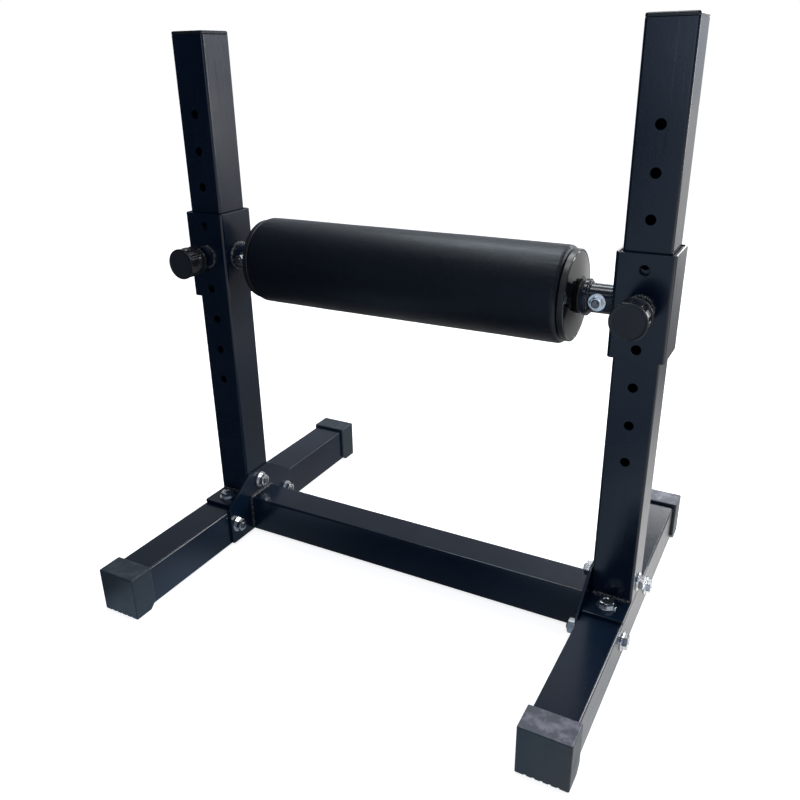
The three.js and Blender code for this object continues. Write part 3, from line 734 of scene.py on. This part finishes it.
def hexShell(acrossFlats, low, high, bore=None):  # a nut with a bore, or else a bolt's head
    turns = fullTurn(hexForm["sides"])
    folded = (turns + math.pi / 6) % (math.pi / 3) - math.pi / 6
    radii = acrossFlats / 2 / np.cos(folded)
    crown = acrossFlats / 2 * hexForm["crown"]
    slope = np.maximum(radii - crown, 0) * math.tan(math.radians(hexForm["slope"]))
    rings = [(radii - hexForm["underCut"], low), (radii, low + hexForm["underRise"] + slope * 0.4),
             (radii, high - slope), (np.minimum(radii, crown), high)]
    if bore:
        mouth = hexForm["mouth"]
        rings += [(bore + mouth, high), (bore, high - mouth), (bore, low + mouth), (bore + mouth, low)]
    else:
        inner, dish = acrossFlats * hexForm["dishShare"], hexForm["dish"]
        rings += [(inner, high), (inner - 0.5, high - dish), (0.4, high - dish * 0.8)]
    return ringShell([turnedRing(turns, radius, height) for radius, height in rings], closed=bool(bore))


def washerShell(radius, bore, low, high):
    return spun([(bore, low), (radius, low), (radius, high), (bore, high)], 48, 0.35, True)


thread = {"sides": 36, "depth": 0.54, "rowsPerTurn": 8, "lead": 1.1}  # depth as a share of the pitch


def threadShell(radius, low, high, pitch):
    turns = fullTurn(thread["sides"])
    depth = thread["depth"] * pitch
    tip = radius - depth * thread["lead"]
    rows = max(6, int((high - low) / pitch * thread["rowsPerTurn"]))
    rings = []
    for row in range(rows + 1):
        z = low + (high - low) * row / rows
        phase = (z / pitch - turns / (2 * math.pi)) % 1
        radii = np.minimum(radius - depth * np.abs(2 * phase - 1), tip + (high - z) * thread["lead"])
        rings.append(turnedRing(turns, radii, z))
    rings.append(turnedRing(turns, tip * 0.3, high))
    return ringShell(rings)


frameBolt = {"radius": 5, "flats": 16, "head": 6.4, "nut": 8, "washer": 11.7, "washerThickness": 2,
             "pitch": 1.5, "end": 2, "play": 0.2}
socketBolt = {"radius": 4, "flats": 13, "head": 5.3, "nut": 6.5, "washer": 9.6, "washerThickness": 1.8,
              "pitch": 1.25, "end": 2, "play": 0.2}


def boltShell(size, reach):  # reach is the shank's whole length below the seat, thread end included
    seat = size["washerThickness"]
    threaded = size["nut"] + size["washerThickness"] + size["end"] + 1.5 * size["pitch"]
    shank = spun([(size["radius"], seat + 1), (size["radius"], -reach + threaded)], 36)
    end = threadShell(size["radius"], 0, threaded + 0.4, size["pitch"])
    flip = Matrix.Translation((0, 0, (-reach + threaded + 0.4) * mm)) @ Matrix.Rotation(math.pi, 4, "X")
    return joined([washerShell(size["washer"], size["radius"] + size["play"], 0, seat),
                   hexShell(size["flats"], seat, seat + size["head"]), shank, moved(end, flip)])


def nutShell(size, washer=True):
    seat = size["washerThickness"] if washer else 0
    shells = [hexShell(size["flats"], seat, seat + size["nut"], size["radius"] + size["play"] / 2)]
    if washer:
        shells.append(washerShell(size["washer"], size["radius"] + size["play"], 0, seat))
    return joined(shells)


def setFastener(node, axis, way, shell, height, turn):  # height of what stands above the seat
    low, high = boxOf(node)
    point = (low + high) / 2
    point[axis] = high[axis] - height if way > 0 else low[axis] + height
    direction = [0, 0, 0]
    direction[axis] = way
    where = pointing(direction, point * mm) @ Matrix.Rotation(math.radians(turn), 4, "Z")
    body = "carriage" if "socket" in node else "frame"
    threaded = node.endswith("_bolt")
    look = ["zinc", "zincThreadPaintedShade"] if threaded else "zinc"
    made = piece(node + "_fine", moved(shell, where), look, body, node, sharp=33)
    if threaded:  # the threaded end gets the darker zinc, painted shade for its grooves and the nut's bore
        size = socketBolt if "socket" in node else frameBolt
        seat = low[axis] if way > 0 else high[axis]
        for polygon in made.data.polygons:
            depth = abs(polygon.center[axis] / mm - seat)
            if depth < size["nut"] + size["end"]:
                polygon.material_index = 1


def setPair(name, size, axis, way, boltTurn, nutTurn, washer=True):  # a bolt and its nut
    low, high = boxOf(name + "_bolt")
    head = size["washerThickness"] + size["head"]
    setFastener(name + "_bolt", axis, way, boltShell(size, high[axis] - low[axis] - head), head, boltTurn)
    nutHeight = size["nut"] + (size["washerThickness"] if washer else 0)
    setFastener(name + "_nut", axis, -way, nutShell(size, washer), nutHeight, nutTurn)


for side, sign in sides.items():  # the heads of one side stand at different turns, in degrees
    spin = 0
    for place in ("front_leg", "rear_leg", "upright"):
        spin += 17
        setPair(f"{side}_{place}", frameBolt, 0, sign, spin + 8, spin * 2)
    for place in ("front_plate", "rear_plate"):
        spin += 23
        setPair(f"{side}_{place}", frameBolt, 2, 1, spin, spin, washer=False)
    setPair(side + "_socket", socketBolt, 1, 1, 11 + 9 * sign, 14 * sign)
print("fasteners set")

# Roller: padded sleeve, end caps and bearings

pad = {"radius": 55, "half": 205, "endRadius": 6.5, "bore": 24.3, "throat": 44, "sides": 240, "rows": 96,
       "edgeSteps": 10, "undulation": 0.25, "gathers": 0.40, "gatherReach": 16}


def padProfile():  # (radius, place along the roller), from the bore at one end to the bore at the other
    half, r, e = pad["half"], pad["radius"], pad["endRadius"]
    turns = [step / pad["edgeSteps"] * math.pi / 2 for step in range(pad["edgeSteps"] + 1)]
    rolled = [(r - e * (1 - math.sin(turn)), -half + e * (1 - math.cos(turn))) for turn in turns]
    left = [(pad["bore"], -half + 1.5), (34, -half + 1.2), (pad["throat"], -half + 0.2)] + rolled
    middle = []
    for row in range(1, pad["rows"]):  # rows stand closer together towards the ends
        t = row / pad["rows"] * 2 - 1
        middle.append((r, math.copysign(abs(t) ** 0.75, t) * (half - e)))
    return left + middle + [(a, -b) for a, b in left[::-1]]


def padShell():
    turns = fullTurn(pad["sides"])
    pleats = np.zeros(pad["sides"])
    for k, (count, share, phase) in enumerate(((47, 0.5, 0.4), (71, 0.3, 1.9), (29, 0.35, 3.1))):
        pleats += share * np.sin(count * turns + phase + 0.8 * np.sin(3 * turns + k))
    rings = []
    for radius, x in padProfile():
        radii = np.full(pad["sides"], float(radius))
        if radius > pad["throat"] - 0.1:
            fromEnd = pad["half"] - abs(x)
            near = math.exp(-((fromEnd / pad["gatherReach"]) ** 1.5))
            fade = min(1.0, (radius - pad["throat"]) / 4 + 0.35)
            radii = radii - pad["gathers"] * near * fade * (0.5 - 0.5 * pleats * (0.5 + 0.5 * near))
            for i, t in enumerate(turns):
                around = Vector((x * 0.012, 1.6 * math.cos(t), 1.6 * math.sin(t)))
                lump = noise.noise(around) + 0.45 * noise.noise(around * 3.1 + Vector((5, 0, 0)))
                radii[i] += pad["undulation"] * (lump - 0.6) * min(1, fromEnd / 12 + 0.3)
        rings.append(turnedRing(turns, radii, x))
    return ringShell(rings, closed=True)


rollerTurn = pointing((1, 0, 0), rollerLine)
sleeve = piece("roller_cushion", moved(padShell(), rollerTurn), "pad_vinyl", "roller", stands="roller_pad",
               sharp=60)

endCap = {"radius": 51.3, "edge": 1.3, "bore": 16.3, "hub": 21.7, "depth": 26, "dome": 4.5, "lip": 1.9,
          "groove": 0.3, "gap": 0.3}
bush = {"bore": 12.8, "radius": 16.0, "flange": 19.0, "neck": 17.6, "neckLength": 1.4, "slope": 0.8,
        "edge": 0.5, "gap": 0.3}
hubFace = boxOf("right_end_cap")[1][0]


def discShell():
    r, hub, bore = endCap["radius"], endCap["hub"], endCap["bore"]
    back, seat, rim = pad["half"] - endCap["depth"], pad["half"] + endCap["gap"], hubFace - endCap["dome"]
    lip = r - endCap["lip"]
    profile = [(bore, back), (hub, back), (hub, seat), (r, seat), (r, rim), (lip, rim, 0.15),
               (lip - 0.3, rim - endCap["groove"], 0.1), (lip - 0.8, rim + 0.1, 0.1),
               (hub + 0.6, hubFace - 0.1, 0.4), (bore, hubFace - 0.1)]  # third numbers are corner radii
    return spun(profile, 96, endCap["edge"], True)


def bushShell(inner, outer):
    bore, r, flange, neck = bush["bore"], bush["radius"], bush["flange"], bush["neck"]
    seat, shoulder = hubFace + bush["gap"], outer - bush["neckLength"]
    profile = [(bore, inner), (r, inner), (r, seat), (flange, seat), (flange, shoulder - bush["slope"]),
               (neck, shoulder), (neck, outer), (bore, outer)]
    return spun(profile, 64, bush["edge"], True)


for side, sign in sides.items():
    outwards = pointing((sign, 0, 0), rollerLine)
    piece(side + "_disc", moved(discShell(), outwards), "gloss_plastic", "roller", stands=side + "_end_cap")
    low, high = boxOf(side + "_bearing")
    shell = bushShell(*sorted((abs(low[0]), abs(high[0]))))
    piece(side + "_bush", moved(shell, outwards), "nylon", "roller", stands=side + "_bearing")
print("roller built")

# Index pins: housing, spring and fluted knob, built about +Z with z = 0 on the collar's face

knob = {"radius": 19.7, "backRadius": 18.7, "length": 28.5, "gap": 23.5, "rim": 3.0, "backRim": 2.0,
        "lobes": 9, "setBack": 1.6, "swell": 1.7, "groove": 2.4, "mouth": 0.40, "sides": 270, "edge": 0.8,
        "faceInset": 0.45, "faceMargin": 2.3, "seam": 0.25, "turn": 7}
housing = {"radius": 8.2, "noseBore": 5.4, "sunk": 3, "chamber": 6.9, "chamberFloor": 1, "bore": 3.4,
           "lid": 2, "top": 22.8, "hex": 24, "hexLength": 11, "hexBore": 7.4, "core": 7.0, "pitch": 1.5,
           "threadDepth": 0.8, "weld": 3.4, "weldSteps": 150, "sides": 48, "turn": 12}
pinSpring = {"radius": 4.95, "wire": 0.6, "turns": 7, "low": 2.2, "high": 19.9, "travel": 9.5,
             "stepsPerTurn": 28, "wireSides": 10}


def knobShell():
    turns = fullTurn(knob["sides"])
    phase = knob["lobes"] * turns / (2 * math.pi)
    fromGroove = np.abs(phase - np.round(phase)) / (knob["mouth"] / 2)  # 1 at the groove's mouth
    wall = np.clip((1.12 - fromGroove) / 0.75, 0, 1)
    flute = wall * wall * (3 - 2 * wall)
    length, r, back, edge, seam = (knob[k] for k in ("length", "radius", "backRadius", "edge", "seam"))
    rings = []

    def ring(radii, height):
        rings.append(turnedRing(turns, radii, height))

    for radius, height in ((3.4, 0.3), (9.0, 0.3), (9.6, 0.0)):  # the hollow round the rod
        ring(radius, height)
    for t in np.linspace(0, 1, 5):
        turn = t * math.pi / 2
        ring(back - edge * (1 - math.sin(turn)), edge * (1 - math.cos(turn)))
    ring(back, knob["backRim"] - seam)
    ring(back - seam, knob["backRim"])
    gripTop = length - knob["rim"]
    for t in np.linspace(0, 1, 14):  # the lobes, crowned along their length
        z = knob["backRim"] + 0.3 + t * (gripTop - knob["backRim"] - 0.6)
        grip = back + (r - back) * t - knob["setBack"] + knob["swell"] * math.sin(math.pi * t)
        ends = min(1, 5 * t, 5 * (1 - t))
        ring(grip - knob["groove"] * flute * (0.35 + 0.65 * ends), z)
    ring(r - seam, gripTop)
    ring(r, gripTop + seam)
    for t in np.linspace(0, 1, 6):
        turn = t * math.pi / 2
        ring(r - edge * (1 - math.cos(turn)), length - edge * (1 - math.sin(turn)))
    for inset, sunk in ((1.7, 0), (2.1, 0.12), (2.4, knob["faceInset"])):  # the step down to the face
        ring(r - inset, length - sunk)
    for share in (0.75, 0.5, 0.25, 0.04):
        ring(r * share, length - knob["faceInset"] + 0.25 * (1 - share))
    return ringShell(rings)


def springShell():
    size = pinSpring
    rings = []
    steps = size["turns"] * size["stepsPerTurn"]
    for i in range(steps + 1):
        turn = i / size["stepsPerTurn"] * 2 * math.pi
        z = size["low"] + (size["high"] - size["low"]) * i / steps
        out = np.array((math.cos(turn), math.sin(turn), 0))
        ring = []
        for j in range(size["wireSides"]):
            a = j / size["wireSides"] * 2 * math.pi
            reach, rise = size["radius"] + size["wire"] * math.cos(a), z + size["wire"] * math.sin(a)
            ring.append(out * reach + np.array((0, 0, rise)))
        rings.append(np.array(ring) * mm)
    return ringShell(rings)


def barrelShell():  # the bushing's body, hollow for the spring
    radius, top, hexTop = housing["radius"], housing["top"], housing["hexLength"]
    nose, chamber, bore = housing["noseBore"], housing["chamber"], housing["bore"]
    bottom, chamberFloor, lid = -housing["sunk"], -housing["chamberFloor"], top - housing["lid"]
    profile = [(nose, bottom), (radius, bottom), (radius, hexTop + 1), (radius - 1.0, hexTop + 1.2),
               (radius - 1.0, top - 1), (radius - 2.0, top), (bore, top), (bore, lid), (chamber, lid),
               (chamber, chamberFloor), (nose, chamberFloor)]
    return spun(profile, housing["sides"], 0.4, True)


def barrelThread():
    turns = fullTurn(housing["sides"])
    bottom = housing["hexLength"] - 0.5
    length = housing["top"] - 1.4 - housing["hexLength"] + 0.5
    rings = []
    for row in range(41):
        z = bottom + row / 40 * length
        phase = (z / housing["pitch"] - turns / (2 * math.pi)) % 1
        rings.append(turnedRing(turns, housing["radius"] - housing["threadDepth"] * np.abs(2 * phase - 1), z))
    for z in (bottom + length, bottom):
        rings.append(turnedRing(turns, housing["core"], z))
    return ringShell(rings, closed=True)


for side, sign in sides.items():
    collarFront = boxOf(side + "_collar")[0][1]
    mount = (sign * sideX * mm, collarFront * mm, pinHeight * mm)
    where = pointing((0, -1, 0), mount)
    body = side + "_pin"
    nut = hexShell(housing["hex"], 0, housing["hexLength"], bore=housing["hexBore"])
    turned = where @ Matrix.Rotation(math.radians(housing["turn"] * sign), 4, "Z")
    piece(side + "_pin_bushing", moved(joined([barrelShell(), barrelThread(), nut]), turned), "powder_coat",
          "carriage", stands=side + "_pin_housing", sharp=33)
    turns = [i / housing["weldSteps"] * 2 * math.pi for i in range(housing["weldSteps"])]
    radial = [(math.cos(t), 0, math.sin(t)) for t in turns]
    path = [np.array(mount) / mm + np.array(n) * housing["hex"] / 2 for n in radial]
    shell = weldBead(path, [(0, -1, 0)] * len(path), radial, housing["weld"], True, seed=sign * 5)
    piece(side + "_bushing_weld", shell, "weld", "carriage", sharp=70)

    spring = piece(side + "_coil", moved(springShell(), where), "bare_steel", body,
                   stands=side + "_pin_spring")
    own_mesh(spring)

    away = where @ Matrix.Translation((0, 0, knob["gap"] * mm))
    away = away @ Matrix.Rotation(math.radians(knob["turn"] * sign), 4, "Z")
    grip = piece(side + "_pull_knob", moved(knobShell(), away), ["knob_plastic", "knobFace"], body,
                 side + "_pin_knob", sharp=60)
    faceY = (collarFront - knob["gap"] - knob["length"] + knob["faceInset"] + 0.1) * mm
    for polygon in grip.data.polygons:  # the sunk face is duller than the grip
        r = math.hypot(polygon.center.x - mount[0], polygon.center.z - mount[2])
        if polygon.center.y < faceY and r < (knob["radius"] - knob["faceMargin"]) * mm:
            polygon.material_index = 1
print("pins built")

# Camera, world, lamps and floor

camera = {"place": (0.45035, -0.84380, 0.66623), "yaw": 28.74, "pitch": -23.10, "roll": -0.97, "lens": 35.934}
yaw, pitch, roll = (math.radians(camera[k]) for k in ("yaw", "pitch", "roll"))
forward = Vector((-math.sin(yaw) * math.cos(pitch), math.cos(yaw) * math.cos(pitch), math.sin(pitch)))
alongPicture = Vector((math.cos(yaw), math.sin(yaw), 0))
upward = alongPicture.cross(forward)
rightward = alongPicture * math.cos(roll) + upward * math.sin(roll)
topward = upward * math.cos(roll) - alongPicture * math.sin(roll)
cameraData = bpy.data.cameras.new("camera")
cameraData.sensor_width, cameraData.lens = 36, camera["lens"]
cameraObject = bpy.data.objects.new("camera", cameraData)
view = Matrix((rightward, topward, -forward)).transposed()
cameraObject.matrix_world = Matrix.Translation(camera["place"]) @ view.to_4x4()
scene.collection.objects.link(cameraObject)
scene.camera = cameraObject
scene.view_settings.view_transform = "Standard"

world = {"front": 0.015, "back": 0.68, "topLeft": 0.24, "topRight": 0.66, "frontGlow": 1.2,
         "frontTint": (0.76, 0.92, 1.18), "backTint": (0.93, 0.98, 1.06)}
scene.world = bpy.data.worlds.new("studio")
s = Sheet(scene.world)
heading = s.add("ShaderNodeTexCoord", out="Generated")
x, y, z = (s.add("ShaderNodeSeparateXYZ", {}, {0: heading}, i) for i in range(3))
behind = (y + x * 0.35).between(-0.35, 0.55)
above = z.between(0.12, 0.6)
horizon = behind * (world["back"] - world["front"]) + world["front"]
glow = (y * -1).between(0.85, 0.95) * x.between(-0.30, -0.14) * world["frontGlow"]
ceiling = x.between(-0.6, 0.15) * (world["topRight"] - world["topLeft"]) + world["topLeft"]
ceiling = ceiling * (behind * 0.7 + 0.3)
brightness = (1 - above) * (horizon + glow) + above * ceiling
shine = s.add("ShaderNodeLightPath", out="Is Glossy Ray")
rearRight = x.between(0.48, 0.62) * y.between(0.55, 0.68) * (1 - z.between(0.05, 0.3))
brightness = brightness + shine * rearRight * (1 - brightness)  # reflections see the white backdrop there
tone = s.tint(behind, world["frontTint"], world["backTint"])
studio = s.add("ShaderNodeBackground", {}, {"Color": tone, "Strength": brightness})
white = s.add("ShaderNodeBackground", {}, {"Color": (1, 1, 1, 1), "Strength": 1.0})
ray = s.add("ShaderNodeLightPath", out="Is Camera Ray")
mixed = s.add("ShaderNodeMixShader", {}, {0: ray, 1: studio, 2: white})
s.close(mixed, "ShaderNodeOutputWorld")


def lamp(name, place, aim, size, power, colour=(1, 1, 1)):
    data = bpy.data.lights.new(name, "AREA")
    data.shape, data.size, data.size_y = "RECTANGLE", *size
    data.energy, data.color = power, colour
    obj = bpy.data.objects.new(name, data)
    obj.matrix_world = pointing(Vector(place) - Vector(aim), place)
    scene.collection.objects.link(obj)


lamp("rearWindow", (0.45, 2.0, 0.97), (0.2, 0, 0.45), (1.5, 0.2), 6)
lamp("rightWindow", (1.5, 1.35, 1.05), (0, 0, 0.6), (0.35, 1.5), 18)
lamp("topStrip", (0.05, -0.08, 2.0), (0.05, -0.08, 0.4), (0.8, 0.28), 6)
lamp("topPanel", (-0.4, 0.85, 1.85), (0, 0, 0.4), (0.7, 0.4), 8.5, (0.9, 0.97, 1.0))
lamp("frontStrip", (-0.1, -1.4, 1.95), (0, 0, 0.3), (0.9, 0.07), 1.2, (0.95, 0.98, 1.0))

floor = {"half": 12, "drop": 0.2, "colour": (0.80, 0.80, 0.81), "lift": 0.84,
         "dim": 0.03, "behind": 0.27, "nearLeft": 0.60, "nearRight": 0.75, "far": 0.45, "inFront": 0.52,
         "flank": 0.8, "coolTint": (0.74, 0.95, 1.20), "plainTint": (0.98, 0.98, 0.98)}
s = material("paleFloor")
diffuse = s.add("ShaderNodeBsdfDiffuse", {}, {"Color": (*floor["colour"], 1)})
ray = s.add("ShaderNodeLightPath", out="Is Camera Ray")
glossy = s.add("ShaderNodeLightPath", out="Is Glossy Ray")
lift = s.add("ShaderNodeEmission", {}, {"Color": (1, 1, 1, 1), "Strength": ray * floor["lift"]})
both = s.add("ShaderNodeAddShader", {}, {0: diffuse, 1: lift})
across, along = s.axis(0), s.axis(1)  # metres; from here on, the areas of the floor that reflections see, glowing for glossy rays only: painted light and shade that varies by area
toRight = across.between(0.24, 0.34)
beside = across.away().between(0.05, 0.28) * across.between(-0.36, -0.30)
nearLeft = (1 - along.between(0.05, 0.30)) * beside * (1 - toRight) * (1 - along.between(-0.16, -0.06) * 0.75)
nearRight = (1 - along.between(0.0, 1.1)) * toRight
near = along.between(-0.7, -0.4) * (nearLeft * floor["nearLeft"] + nearRight * floor["nearRight"])
front = (along * -1).between(0.1, 1.3) * (across - along * 0.12).between(-0.45, 0.1)
fading = 1 - across.between(0.5, 0.9) * (1 - along.between(1.9, 2.5)) * 0.55
flank = across.between(0.9, 1.5) * (1 - along.between(0.4, 0.8)) * along.between(-2.5, -1.5)
far = along.between(0.9, 2.4) * floor["far"] + across.between(2, 5) * along.between(2, 5) * (1 - floor["far"])
back = (along.between(-0.1, 0.1) * floor["behind"] * (across.between(-0.7, -0.25) * 0.6 + 0.4) + far) * fading
# The areas overlap and add up: to 1.7 at most, beside the object on its right, where 1 is white.
shade = near + back + flank * floor["flank"] + front * floor["inFront"] + floor["dim"]
plain = (along.between(-0.1, 0.2) + toRight).clamped()
tone = s.tint(plain, floor["coolTint"], floor["plainTint"])
mirrored = s.add("ShaderNodeEmission", {}, {"Color": tone, "Strength": shade})
shader = s.add("ShaderNodeMixShader", {}, {0: glossy, 1: both, 2: mirrored})
floorFinish = s.close(shader)
half, under = floor["half"], -floor["drop"] * mm
corners = [(-half, -half, under), (half, -half, under), (half, half, under), (-half, half, under)]
floorMesh = bpy.data.meshes.new("floor")
floorMesh.from_pydata(corners, [], [(0, 1, 2, 3)])
floorMesh.materials.append(floorFinish)
floorObject = bpy.data.objects.new("floor", floorMesh)
scene.collection.objects.link(floorObject)
print("camera, lamps and floor set")
